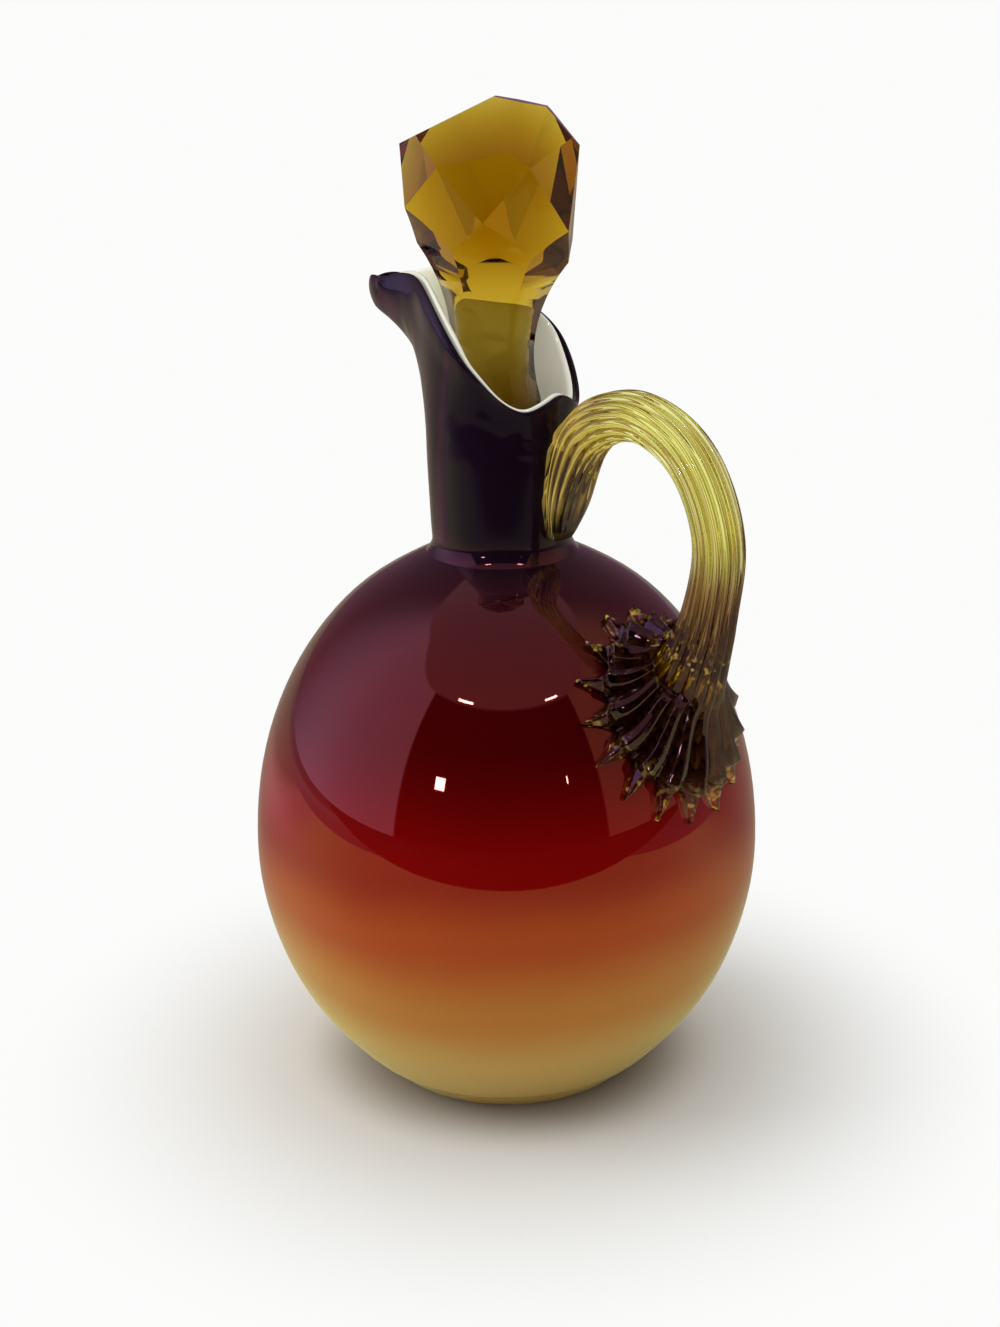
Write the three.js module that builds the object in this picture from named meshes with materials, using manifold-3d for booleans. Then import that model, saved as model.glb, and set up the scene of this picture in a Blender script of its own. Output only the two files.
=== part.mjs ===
// A cruet in heat-shaded cased glass, with an opal lining, a reeded handle and a cut stopper.
// Millimetres, +Z up. The origin is on the vessel's axis, on its ground base. The handle
// points to +X and the pouring lip to -X.
import * as THREE from 'three';
import { mergeVertices } from 'three/addons/utils/BufferGeometryUtils.js';
import Module from 'manifold-3d';

const wasm = await Module();
wasm.setup();

// Belly: two curves that meet at its widest height
const bellyRadius = 44.7;
const bellyHeight = 43.4;
const bellyDrop = 50.2;
const bellyRise = 54.3;
const lowerFullness = 1.95;
const upperFullness = 2.04;

// Foot: a low flared ring with a groove above it, ground flat underneath
const footRadius = 22.9;
const footFlare = 2.6;
const footHeight = 3.2;
const footBevel = 0.5;
const grooveDepth = 0.7;
const floorThickness = 6.0;

// Neck
const neckRadius = 11.9;
const neckSpread = 0.6;
const neckLength = 16.0;
const shoulderFillet = 2.5;

// Glass layers, and the seam between one piece and the next
const casingWall = 1.4;
const liningWall = 1.1;
const seamGap = 0.3;
const beakThinning = 0.4;
const narrowestShare = 0.15;

// Lip: azimuth from the handle in degrees, reach beyond the neck, and rise above the neck
const lipStations = [
  [0, 2.4, 12.9],
  [28, 1.7, 10.0],
  [48, 1.7, 12.2],
  [64, 1.7, 15.9],
  [81, 1.8, 20.3],
  [101, 0.6, 24.2],
  [138, 0.9, 28.8],
  [162, 4.4, 30.6],
  [169, 9.2, 30.3],
  [173.5, 14.7, 29.0],
  [180, 18.3, 25.5],
];
const lipStraight = 0.4;
const lipPull = 0.35;
const lipLift = 0.75;

// Handle rod and the wedge that seals it on the neck
const reedCount = 16;
const rodRadius = 4.3;
const reedDepth = 0.55;
const handleOverhang = 1.1;
const handleCrown = 10.4;
const sealTipHeight = 3.6;
const sealHalfWidth = 4.9;
const sealShare = 0.2;
const shearedShare = 0.72;

// Shell foot that spreads the handle's reeds over the belly
const shellHeight = 75.0;
const shellRadius = 18.5;
const shellRise = 6.0;
const shellThroat = 9.6;
const throatLean = 5.2;
const throatRise = 10.2;
const throatHalfDepth = 5.6;
const throatHalfWidth = 5.2;

// Stopper: a ground plug in the neck, a waisted shank and a head cut with four rows of facets
const plugLength = 17.0;
const plugEndBevel = 1.0;
const plugShoulder = 3.0;
const shankRise = 8.0;
const waistRadius = 6.0;
const waistRise = 19.0;
const flareRise = 6.0;
const headRise = 40.3;
const headTurn = 37.5;
const headShift = 1.2;
const headShiftAzimuth = 222.0;
const sideCorner = 15.2;
const upperCorner = 14.7;
const upperCornerRise = 11.4;
const crownSlope = 36.0;
const tableRise = 18.9;

// The head was cut askew. Its side corners each lie at a rise of their own above its middle, and
// its upper corners and its table fall to one side.
const sideRises = [-4.8, -3.0, 0.5, 2.1, 0.3, -1.8];
const headFacets = sideRises.length;
const upperSkew = 12.5;
const upperSkewAzimuth = -48.0;
const tableSkew = 11.0;
const tableSkewAzimuth = 42.0;

// Fineness of the surfaces. The belly's rings lie at latitudes: the outside's lowest ring is
// above the groove, and the inner surfaces run down to the floor.
const vesselSides = 40;
const latitudeStep = 12;
const highestLatitude = 72;
const lowestLatitude = -72;
const grooveLatitude = -48;
const neckShares = [0, 0.1, 0.25, 0.6, 1];
const lipSteps = 7;
const rodSteps = 28;
const pointsPerReed = 4;
const plugSides = 48;
const wheelSides = 72;

const casingColour = 0x5a0a0c;
const liningColour = 0xf1ead2;
const amberColour = 0xc8921e;

const toRadians = THREE.MathUtils.degToRad;
const lerp = THREE.MathUtils.lerp;
const smoothstep = THREE.MathUtils.smoothstep;
const neckFoot = bellyHeight + bellyRise
  * Math.pow(1 - Math.pow(neckRadius / bellyRadius, upperFullness), 1 / upperFullness);
const neckTop = neckFoot + neckLength;

// Depth below the outside of the four surfaces of the two glass layers. The walls may be drawn
// thinner by a share.
function depthOf(surface, thinning = 0) {
  const casing = casingWall * (1 - thinning);
  const lining = liningWall * (1 - thinning);
  return {
    casingOutside: 0,
    casingInside: casing,
    liningOutside: casing + seamGap,
    liningInside: casing + seamGap + lining,
  }[surface];
}

// Half-height of the belly's lower curve. Inside, it ends on the floor.
function lowerHalf(surface) {
  if (surface === 'casingOutside') return bellyDrop;
  return bellyHeight - floorThickness - (depthOf(surface) - casingWall);
}

function bellyAt(z, surface) {
  const upper = z > bellyHeight;
  const half = upper ? bellyRise - depthOf(surface) : lowerHalf(surface);
  const fullness = upper ? upperFullness : lowerFullness;
  const share = Math.min(Math.abs(z - bellyHeight) / half, 1);
  const radius = bellyRadius - depthOf(surface);
  return radius * Math.pow(1 - Math.pow(share, fullness), 1 / fullness);
}

function neckAt(z, surface) {
  return neckRadius + neckSpread * (z - neckFoot) / neckLength - depthOf(surface);
}

// Radius of a surface from the floor to the top of the neck, with the shoulder's fillet
function radiusAt(z, surface) {
  const belly = bellyAt(z, surface);
  if (z <= bellyHeight) return belly;
  const neck = neckAt(z, surface);
  const blend = shoulderFillet * smoothstep(z, bellyHeight, neckFoot);
  return (belly + neck + Math.hypot(belly - neck, blend)) / 2;
}

function ringAt(radius, z) {
  return Array.from({ length: vesselSides }, (_, side) => {
    const azimuth = 2 * Math.PI * side / vesselSides;
    return new THREE.Vector3(radius * Math.cos(azimuth), radius * Math.sin(azimuth), z);
  });
}

// Heights of the rings from the floor or the groove up to the neck's top
function heightsOf(surface) {
  const heights = [];
  const lowest = surface === 'casingOutside' ? grooveLatitude : lowestLatitude;
  for (let latitude = lowest; latitude <= highestLatitude; latitude += latitudeStep) {
    const sine = Math.sin(toRadians(latitude));
    const half = sine > 0 ? bellyRise - depthOf(surface) : lowerHalf(surface);
    const fullness = sine > 0 ? upperFullness : lowerFullness;
    const share = Math.sign(sine) * Math.pow(Math.abs(sine), 2 / fullness);
    heights.push(bellyHeight + half * share);
  }
  for (const share of neckShares) heights.push(neckFoot + share * neckLength);
  return heights;
}

// The lip's edge as a closed curve, mirrored about the plane of handle and lip
const lipCurve = new THREE.CatmullRomCurve3(
  [...lipStations, ...lipStations.slice(1, -1).reverse().map(([a, r, h]) => [-a, r, h])]
    .map(([azimuth, reach, rise]) => {
      const radius = neckRadius + neckSpread + reach;
      const turn = toRadians(azimuth);
      return new THREE.Vector3(radius * Math.cos(turn), radius * Math.sin(turn), neckTop + rise);
    }),
  true,
);

// A point of the lip's edge on one surface: moved inwards across the edge, as seen from above,
// and never past the middle of the narrow beak
function lipEdge(share, surface) {
  const point = lipCurve.getPoint(share);
  const tangent = lipCurve.getTangent(share);
  const level = Math.hypot(tangent.x, tangent.y);
  const beakShare = smoothstep(-point.x, neckRadius, neckRadius + lipStations.at(-1)[1]);
  const depth = depthOf(surface, beakThinning * beakShare);
  const across = depth * Math.abs(tangent.x) / level;
  const halfWidth = Math.abs(point.y);
  point.x -= depth * tangent.y / level;
  point.y = Math.sign(point.y) * Math.max(halfWidth - across, narrowestShare * halfWidth);
  return point;
}

// A point between the neck's top and the lip's edge, on a curve that starts straight up
function lipPoint(side, rise, surface) {
  const share = side / vesselSides;
  const azimuth = 2 * Math.PI * share;
  const radius = radiusAt(neckTop, surface);
  const foot = new THREE.Vector3(radius * Math.cos(azimuth), radius * Math.sin(azimuth), neckTop);
  const edge = lipEdge(share, surface);
  const drawn = foot.clone();
  drawn.z = lerp(neckTop, edge.z, lipStraight);
  const pulled = foot.clone().lerp(edge, lipPull);
  pulled.z = lerp(neckTop, edge.z, lipLift);
  return new THREE.CubicBezierCurve3(foot, drawn, pulled, edge).getPoint(rise);
}

function lipRings(surface) {
  return Array.from({ length: lipSteps }, (_, step) =>
    Array.from({ length: vesselSides }, (_, side) =>
      lipPoint(side, (step + 1) / lipSteps, surface)));
}

function wallRings(surface) {
  const rings = heightsOf(surface).map((z) => ringAt(radiusAt(z, surface), z));
  return [...rings, ...lipRings(surface)];
}

// Skins a stack of rings and closes both ends. The rings turn anticlockwise along the stack.
function loft(rings) {
  const sides = rings[0].length;
  const points = rings.flat();
  const faces = [];
  for (let ring = 0; ring < rings.length - 1; ring++) {
    for (let side = 0; side < sides; side++) {
      const here = ring * sides + side;
      const next = ring * sides + (side + 1) % sides;
      faces.push(here, next, next + sides, here, next + sides, here + sides);
    }
  }
  const last = rings.length - 1;
  for (const end of [0, last]) {
    const hub = points.length;
    const middle = new THREE.Vector3();
    for (const point of rings[end]) middle.addScaledVector(point, 1 / sides);
    points.push(middle);
    for (let side = 0; side < sides; side++) {
      const here = end * sides + side;
      const next = end * sides + (side + 1) % sides;
      faces.push(hub, ...(end === last ? [here, next] : [next, here]));
    }
  }
  const geometry = new THREE.BufferGeometry().setFromPoints(points);
  geometry.setIndex(faces);
  return geometry;
}

function makeCasing() {
  const groove = footRadius + footFlare - grooveDepth;
  const foot = [
    ringAt(footRadius - footBevel, 0),
    ringAt(footRadius, footBevel / 2),
    ringAt(footRadius + footFlare, footHeight - footBevel),
    ringAt(groove, footHeight),
    ringAt(radiusAt(footHeight + footBevel, 'casingOutside'), footHeight + footBevel),
  ];
  return loft([...foot, ...wallRings('casingOutside'), ...wallRings('casingInside').reverse()]);
}

function makeLining() {
  return loft([...wallRings('liningOutside'), ...wallRings('liningInside').reverse()]);
}

// Radius of the casing's outside under the handle, up to the lip's edge
function radiusUnderHandle(z) {
  if (z <= neckTop) return radiusAt(z, 'casingOutside');
  let below = lipPoint(0, 0, 'casingOutside');
  for (let step = 1; step <= lipSteps; step++) {
    const above = lipPoint(0, step / lipSteps, 'casingOutside');
    if (z < above.z) return lerp(below.x, above.x, (z - below.z) / (above.z - below.z));
    below = above;
  }
  return 0;
}

// The belly's surface round the shell foot: its middle, and the ways down and out from there
const shellMiddle = new THREE.Vector3(radiusAt(shellHeight, 'casingOutside'), 0, shellHeight);
const slopeStep = 0.5;
const downSlope = new THREE.Vector3(
  radiusAt(shellHeight - slopeStep, 'casingOutside'), 0, shellHeight - slopeStep,
).sub(shellMiddle).normalize();
const outOfBelly = new THREE.Vector3(-downSlope.z, 0, downSlope.x);

// A point over the belly, given by its distances down the slope and across from the shell's
// middle and by its lift off the glass
function overBelly(down, across, lift) {
  const centre = new THREE.Vector3(0, 0, bellyHeight);
  const way = shellMiddle.clone().addScaledVector(downSlope, down);
  way.y -= across;
  way.sub(centre);
  const level = Math.hypot(way.x, way.y) / (bellyRadius + lift);
  const rise = Math.abs(way.z) / (bellyRise + lift);
  const size = Math.pow(level, upperFullness) + Math.pow(rise, upperFullness);
  return way.multiplyScalar(Math.pow(size, -1 / upperFullness)).add(centre);
}

// The handle's centre line, from the seal's tip over the top and down to the shell foot, with
// each station's half depth, half width and reed depth
const handleStations = [
  [neckRadius + 1.6, neckFoot + sealTipHeight, 0.8, 2.4, 0.0],
  [neckRadius + 3.0, neckTop - 6.0, 2.6, sealHalfWidth, 0.3],
  [neckRadius + 4.7, neckTop + 1.0, 4.0, sealHalfWidth, 0.5],
  [neckRadius + 7.4, neckTop + 6.7, 4.6, 4.7, reedDepth],
  [neckRadius + 12.4, handleCrown + neckTop - 0.6, rodRadius, rodRadius, reedDepth],
  [bellyRadius - 13.4, neckTop + handleCrown, rodRadius, rodRadius, reedDepth],
  [bellyRadius - 4.4, neckTop + 5.2, rodRadius, rodRadius, reedDepth],
  [bellyRadius + handleOverhang, neckTop - 7.0, rodRadius, rodRadius, reedDepth],
  [shellMiddle.x + throatLean + 2.4, shellHeight + throatRise + 7.8, 4.6, rodRadius, reedDepth],
  [shellMiddle.x + throatLean, shellHeight + throatRise, throatHalfDepth, throatHalfWidth, reedDepth],
  [shellMiddle.x + 2.0, shellHeight + 3.0, throatHalfDepth + 1.8, throatHalfWidth + 1.4, reedDepth],
];

// Share of a reed's depth that is left around the rod: 1 on a reed's crest, 0 between reeds
function reedCrest(turn) {
  return Math.abs(Math.sin(turn * reedCount / 2));
}

function turnsAround() {
  const count = reedCount * pointsPerReed;
  return Array.from({ length: count }, (_, step) => 2 * Math.PI * step / count);
}

function rodRings() {
  const line = new THREE.CatmullRomCurve3(
    handleStations.map(([x, z]) => new THREE.Vector3(x, 0, z)));
  const size = new THREE.CatmullRomCurve3(
    handleStations.map(([, , depth, width, reed]) => new THREE.Vector3(depth, width, reed)));
  const rings = [];
  for (let step = 0; step < rodSteps; step++) {
    const share = step / rodSteps;
    const centre = line.getPoint(share);
    const along = line.getTangent(share);
    const section = size.getPoint(share);
    const sheared = 1 - smoothstep(share, sealShare, 2 * sealShare);
    rings.push(turnsAround().map((turn) => {
      const reed = section.z * (1 - reedCrest(turn));
      const flat = lerp(-1, -shearedShare, sheared);
      const outer = Math.max(Math.cos(turn), flat) * (section.x - reed);
      const point = centre.clone();
      point.x -= along.z * outer;
      point.z += along.x * outer;
      point.y -= Math.sin(turn) * (section.y - reed);
      return pressedOnNeck(point);
    }));
  }
  return rings;
}

// Hot glass pressed against the neck takes its curve and stays a seam away from it
function pressedOnNeck(point) {
  const limit = radiusUnderHandle(point.z) + seamGap;
  const reach = Math.hypot(point.x, point.y);
  if (reach < limit) {
    point.x *= limit / reach;
    point.y *= limit / reach;
  }
  return point;
}

// Rows of the shell foot, from its throat out to the spikes: reach and lift between the reeds,
// reach and lift on the reeds, sharpness of the reeds, shift up the slope
const shellRows = [
  [0.34, 1.10, 0.38, 1.25, 0.65, -0.10],
  [0.47, 0.72, 0.52, 0.98, 0.65, -0.04],
  [0.60, 0.45, 0.66, 0.84, 0.65, 0],
  [0.68, 0.28, 0.77, 0.62, 1.0, 0],
  [0.70, 0.20, 0.80, 0.36, 2.0, 0],
  [0.72, 0.14, 1.00, 0.16, 4.6, 0],
];

// Shares of the shell's reach at which its underside has rings
const undersideShares = [1, 0.8, 0.6, 0.4, 0.2];

function shellRings() {
  const rows = shellRows.map((row) => turnsAround().map((turn) => {
    const [valleyReach, valleyLift, crestReach, crestLift, sharpness, shift] = row;
    const crest = Math.pow(reedCrest(turn), sharpness);
    const reach = shellRadius * lerp(valleyReach, crestReach, crest);
    const lift = shellRise * lerp(valleyLift, crestLift, crest);
    const down = reach * Math.cos(turn) + shift * shellRadius;
    return overBelly(down, reach * Math.sin(turn), Math.max(lift, 2 * seamGap));
  }));
  const [valleyReach, , crestReach, , sharpness] = shellRows.at(-1);
  for (const share of undersideShares) {
    rows.push(turnsAround().map((turn) => {
      const crest = Math.pow(reedCrest(turn), sharpness);
      const reach = share * shellRadius * lerp(valleyReach, crestReach, crest);
      return overBelly(reach * Math.cos(turn), reach * Math.sin(turn), seamGap);
    }));
  }
  return rows;
}

// The rod's rings end where it enters the shell's throat
function makeHandle() {
  const throat = shellMiddle.clone().addScaledVector(outOfBelly, shellThroat);
  const rod = rodRings().filter((ring) => {
    const middle = ring.reduce((sum, point) => sum.add(point), new THREE.Vector3());
    return middle.multiplyScalar(1 / ring.length).z > throat.z;
  });
  return loft([...rod, ...shellRings()]);
}

function toSolid(geometry) {
  const bare = geometry.clone();
  bare.deleteAttribute('normal');
  bare.deleteAttribute('uv');
  const merged = mergeVertices(bare);
  return new wasm.Manifold(new wasm.Mesh({
    numProp: 3,
    vertProperties: new Float32Array(merged.attributes.position.array),
    triVerts: new Uint32Array(merged.index.array),
  }));
}

function toGeometry(solid) {
  const mesh = solid.getMesh();
  const geometry = new THREE.BufferGeometry();
  geometry.setAttribute('position', new THREE.BufferAttribute(mesh.vertProperties, mesh.numProp));
  geometry.setIndex(new THREE.BufferAttribute(mesh.triVerts, 1));
  return geometry;
}

// The cutter for one flat facet: a block whose near face lies in a plane
function flatCutter(point, normal) {
  const block = 4 * sideCorner;
  const cutter = new THREE.BoxGeometry(block, block, block);
  cutter.translate(block / 2, 0, 0);
  const turn = new THREE.Quaternion().setFromUnitVectors(new THREE.Vector3(1, 0, 0), normal);
  return cutter.applyQuaternion(turn).translate(point.x, point.y, point.z);
}

function cutterThrough(first, second, third) {
  const normal = second.clone().sub(first).cross(third.clone().sub(first)).normalize();
  return flatCutter(first, normal.dot(first) > 0 ? normal : normal.negate());
}

// Azimuth of the middle of a facet of the head, or of the corner half a facet further round
function headAzimuth(facet) {
  return toRadians(headTurn) + 2 * Math.PI * facet / headFacets;
}

function sideAt(facet) {
  const azimuth = headAzimuth(facet + 0.5);
  const rise = sideRises[(facet + headFacets) % headFacets];
  return new THREE.Vector3(
    sideCorner * Math.cos(azimuth), sideCorner * Math.sin(azimuth), rise);
}

function upperAt(facet) {
  const azimuth = headAzimuth(facet);
  const fall = Math.tan(toRadians(upperSkew)) * upperCorner
    * Math.cos(azimuth - toRadians(upperSkewAzimuth));
  return new THREE.Vector3(
    upperCorner * Math.cos(azimuth), upperCorner * Math.sin(azimuth), upperCornerRise - fall);
}

// The facets of the head about its middle: the table, then the crown, the upper row and the
// lozenge row, so that neighbours meet at shared corners
function headCutters() {
  const up = new THREE.Vector3(0, 0, 1);
  const lean = new THREE.Vector3(0, 1, 0).applyAxisAngle(up, toRadians(tableSkewAzimuth));
  const tableTurn = new THREE.Quaternion().setFromAxisAngle(lean, toRadians(tableSkew));
  const table = new THREE.Vector3(0, 0, tableRise);
  const cutters = [flatCutter(table, up.clone().applyQuaternion(tableTurn))];
  for (let facet = 0; facet < headFacets; facet++) {
    const upper = upperAt(facet);
    const crown = up.clone().applyAxisAngle(new THREE.Vector3(0, 1, 0), toRadians(crownSlope))
      .applyAxisAngle(up, headAzimuth(facet)).applyQuaternion(tableTurn);
    cutters.push(flatCutter(upper, crown));
    cutters.push(cutterThrough(sideAt(facet - 1), sideAt(facet), upper));
    cutters.push(cutterThrough(upper, upperAt(facet + 1), sideAt(facet)));
  }
  return cutters;
}

// The grinding wheel that hollows the shank under one side corner of the head. It touches the
// waist and reaches up to that corner.
function wheelCutter(facet) {
  const corner = sideAt(facet);
  const low = waistRise - headRise + corner.z / 2;
  const rise = corner.z - low;
  const step = sideCorner - waistRadius;
  const wheelRadius = (step * step + rise * rise) / (2 * step);
  const wheel = new THREE.CylinderGeometry(
    wheelRadius, wheelRadius, 2 * sideCorner, wheelSides);
  wheel.translate(waistRadius + wheelRadius, 0, low);
  return wheel.rotateZ(headAzimuth(facet + 0.5));
}

// The stretch from the plug's end to the shank's foot, which the head's cutters leave alone
function plugMask(plugEnd) {
  const height = neckTop + waistRise / 2 - plugEnd;
  const mask = new THREE.BoxGeometry(4 * sideCorner, 4 * sideCorner, height);
  return toSolid(mask.translate(0, 0, plugEnd + height / 2));
}

// The stopper is a turned blank, ground to its facets
function makeStopper() {
  const plugTop = radiusAt(neckTop, 'liningInside') - seamGap;
  const plugEnd = neckTop - plugLength;
  const plugEndRadius = neckAt(plugEnd, 'liningInside') - seamGap;
  const neckHalf = waistRadius / Math.cos(Math.PI / headFacets);
  const blankRadius = 1.2 * sideCorner;
  const blankTop = neckTop + headRise + 1.2 * tableRise;
  const profile = [
    [0, plugEnd],
    [plugEndRadius - plugEndBevel, plugEnd],
    [plugEndRadius, plugEnd + plugEndBevel],
    [plugTop, neckTop],
    [(plugTop + neckHalf) / 2, neckTop + plugShoulder],
    [neckHalf, neckTop + shankRise],
    [neckHalf, neckTop + waistRise],
    [blankRadius, neckTop + waistRise + flareRise],
    [blankRadius, blankTop],
    [0, blankTop],
  ];
  const blank = new THREE.LatheGeometry(profile.map(([r, z]) => new THREE.Vector2(r, z)), plugSides);
  blank.rotateX(Math.PI / 2);
  let solid = toSolid(blank);
  const headMiddle = new THREE.Vector3(headShift, 0, neckTop + headRise)
    .applyAxisAngle(new THREE.Vector3(0, 0, 1), toRadians(headShiftAzimuth));
  const atHead = (cutter) => toSolid(cutter.translate(headMiddle.x, headMiddle.y, headMiddle.z));
  for (let facet = 0; facet < headFacets; facet++) {
    solid = solid.subtract(atHead(wheelCutter(facet)));
  }
  const mask = plugMask(plugEnd);
  for (const cutter of headCutters()) solid = solid.subtract(atHead(cutter).subtract(mask));
  return toGeometry(solid);
}

function addPiece(group, name, geometry, settings) {
  geometry.computeVertexNormals();
  const mesh = new THREE.Mesh(geometry, new THREE.MeshStandardMaterial(settings));
  mesh.name = name;
  group.add(mesh);
}

const cruet = new THREE.Group();
addPiece(cruet, 'outer_casing', makeCasing(), { color: casingColour, roughness: 0.08 });
addPiece(cruet, 'opal_lining', makeLining(), { color: liningColour, roughness: 0.2 });
addPiece(cruet, 'reeded_handle', makeHandle(), { color: amberColour, roughness: 0.05 });
addPiece(cruet, 'faceted_stopper', makeStopper(), { color: amberColour, roughness: 0.04 });

export default cruet;
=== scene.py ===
"""Models and finishes a cruet in heat-shaded cased glass.

The cruet has a glossy casing over an opal lining, a reeded amber handle and a cut amber stopper.
Each operator makes one of them, or the stage, and the panel lists them in order. Sizes are in
metres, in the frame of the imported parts: +Z up, the handle towards +X, the lip towards -X.
"""
import math

import bmesh
import bpy
from bpy.props import FloatProperty, FloatVectorProperty, PointerProperty
from mathutils import Matrix, Vector
from mathutils.bvhtree import BVHTree


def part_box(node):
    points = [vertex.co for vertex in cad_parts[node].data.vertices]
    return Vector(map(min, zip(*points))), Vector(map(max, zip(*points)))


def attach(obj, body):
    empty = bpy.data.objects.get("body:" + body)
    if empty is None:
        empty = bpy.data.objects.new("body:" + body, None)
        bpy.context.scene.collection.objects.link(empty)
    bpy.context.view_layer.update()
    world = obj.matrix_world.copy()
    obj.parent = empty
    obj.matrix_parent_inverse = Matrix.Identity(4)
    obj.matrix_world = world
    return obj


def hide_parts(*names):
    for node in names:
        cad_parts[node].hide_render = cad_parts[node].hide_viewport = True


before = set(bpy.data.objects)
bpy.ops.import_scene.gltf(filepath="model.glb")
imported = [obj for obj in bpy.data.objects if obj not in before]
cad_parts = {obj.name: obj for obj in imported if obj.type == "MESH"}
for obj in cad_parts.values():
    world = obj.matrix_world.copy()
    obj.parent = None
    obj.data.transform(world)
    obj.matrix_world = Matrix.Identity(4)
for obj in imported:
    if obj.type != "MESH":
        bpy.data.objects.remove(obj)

bl_info = {
    "name": "Cased Glass Cruet",
    "version": (1, 0, 0),
    "blender": (4, 5, 0),
    "location": "3D View > Sidebar > Cruet",
    "description": "Models and finishes a cruet in heat-shaded glass with its handle and stopper",
    "category": "Add Mesh",
}

# Places on the cruet
BELLY_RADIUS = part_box("outer_casing")[1][0]
BELLY_MIDDLE = (0.0, 0.0, 0.0434)
SHELL_MIDDLE = (BELLY_RADIUS - 0.0081, 0.0, 0.075)
ROD_FOOT = (BELLY_RADIUS - 0.0026, 0.0, 0.078)
LIP_HEIGHT = 0.116

# Indices of refraction
CASING_IOR = 1.65
LINING_IOR = 1.5
HANDLE_IOR = 1.48
STOPPER_IOR = 1.36

# Sockets of a Mix node that mixes colours
MIX_FIRST = 6
MIX_SECOND = 7
MIX_RESULT = 2

MERGE_DISTANCE = 1e-6
SMOOTH_LEVELS = 2
FITTING_ROUNDS = 4
GROOVE = "groove"
ORIGIN = (0.0, 0.0, 0.0)
WHITE = (1.0, 1.0, 1.0)
BLACK = (0.0, 0.0, 0.0)


def distance(name, default, description):
    return FloatProperty(
        name=name, default=default, description=description, min=0.0, unit="LENGTH",
        subtype="DISTANCE", precision=5)


def share(name, default, description):
    return FloatProperty(
        name=name, default=default, description=description, min=0.0, max=1.0, subtype="FACTOR")


def number(name, default, description):
    return FloatProperty(name=name, default=default, description=description, min=0.0)


def angle(name, degrees, description):
    return FloatProperty(
        name=name, default=math.radians(degrees), description=description, unit="ROTATION",
        subtype="ANGLE")


def colour(name, default, description):
    return FloatVectorProperty(
        name=name, default=default, description=description, size=3, min=0.0, max=1.0,
        subtype="COLOR")


# Settings

class CasingSettings(bpy.types.PropertyGroup):
    neck_height: distance("Neck", 0.099, "Height at which the neck's black violet begins")
    ruby_height: distance("Ruby", 0.074, "Height of the dark ruby on the shoulder")
    red_height: distance("Red", 0.052, "Height at which the ruby has turned to clear red")
    orange_height: distance("Orange", 0.041, "Height of the burnt orange below the belly")
    amber_height: distance("Amber", 0.027, "Height of the amber")
    straw_height: distance("Straw", 0.015, "Height of the pale straw colour at the foot")
    # The neck's own colour, which also serves as the painted shade round the shell foot
    neck_colour_and_shade: colour("Neck colour", (0.008, 0.003, 0.008), "Fully struck glass of the neck")
    ruby_colour: colour("Ruby colour", (0.055, 0.0005, 0.001), "Dark ruby of the shoulder")
    red_colour: colour("Red colour", (0.20, 0.0012, 0.0008), "Red of the middle of the belly")
    orange_colour: colour("Orange colour", (0.33, 0.045, 0.006), "Burnt orange under the belly")
    amber_colour: colour("Amber colour", (0.42, 0.16, 0.025), "Amber below it")
    straw_colour: colour("Straw colour", (0.47, 0.29, 0.07), "Unstruck glass at the foot")
    drift: distance("Drift", 0.006, "Range of height over which the colours wander")
    drift_size: distance("Drift size", 0.03, "Size of those slow wanderings")
    # Painted shade: round the shell foot the casing takes the neck's dark colour
    shell_shade: distance("Shell shade", 0.012, "Radius of the darker glass under the shell foot")
    shell_fade: distance("Shell fade", 0.0144, "Radius at which it has gone")
    gloss_tint: colour("Gloss tint", (1.0, 0.31, 0.26), "Tint of what the ruby glass reflects")
    gloss: share("Gloss", 0.02, "Roughness of the belly's surface")
    gloss_height: distance("Gloss height", 0.093, "Height up to which it has that gloss")
    neck_gloss: colour("Neck gloss", (0.085, 0.07, 0.15), "Tint of what the neck reflects")
    neck_haze: share("Neck haze", 0.12, "Roughness of the neck's surface")
    haze_height: distance("Haze height", 0.101, "Height from which it has that haze")
    ground_height: distance("Ground", 0.0004, "Height up to which the base is ground matt")
    ground_matt: share("Ground matt", 0.5, "Roughness that the grinding adds")
    ripple: distance("Ripple", 0.00004, "Depth of the slow ripples in the blown surface")
    ripple_size: distance("Ripple size", 0.022, "Size of those ripples")
    foot_crease: share("Foot crease", 0.6, "Sharpness that the foot keeps as it is smoothed")
    rim_drop: distance("Rim drop", 0.0006, "How far the outside of the rim is drawn down")
    rim_thinning: distance("Rim thinning", 0.0006, "How much thinner the glass is there")
    far_thinning: distance("Far thinning", 0.0005, "How much thinner the handle's side is")
    far_reach: distance("Far reach", 0.00745, "Distance behind the axis at which it is so thin")
    beak_reach: distance("Beak reach", 0.009, "Length of the beak's end that is divided")
    lobe_reach: distance("Lobe reach", 0.0085, "Length of the lobe at its end")
    lobe_rise: distance("Lobe rise", 0.0044, "How far the rim rises there")
    lobe_round: distance("Lobe round", 0.0002, "How far the outside of the rim is drawn in")
    lobe_growth: distance("Lobe growth", 0.0028, "How far the glass swells outwards there")
    keel_reach: distance("Keel reach", 0.014, "Length of the swelling under the beak")


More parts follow.
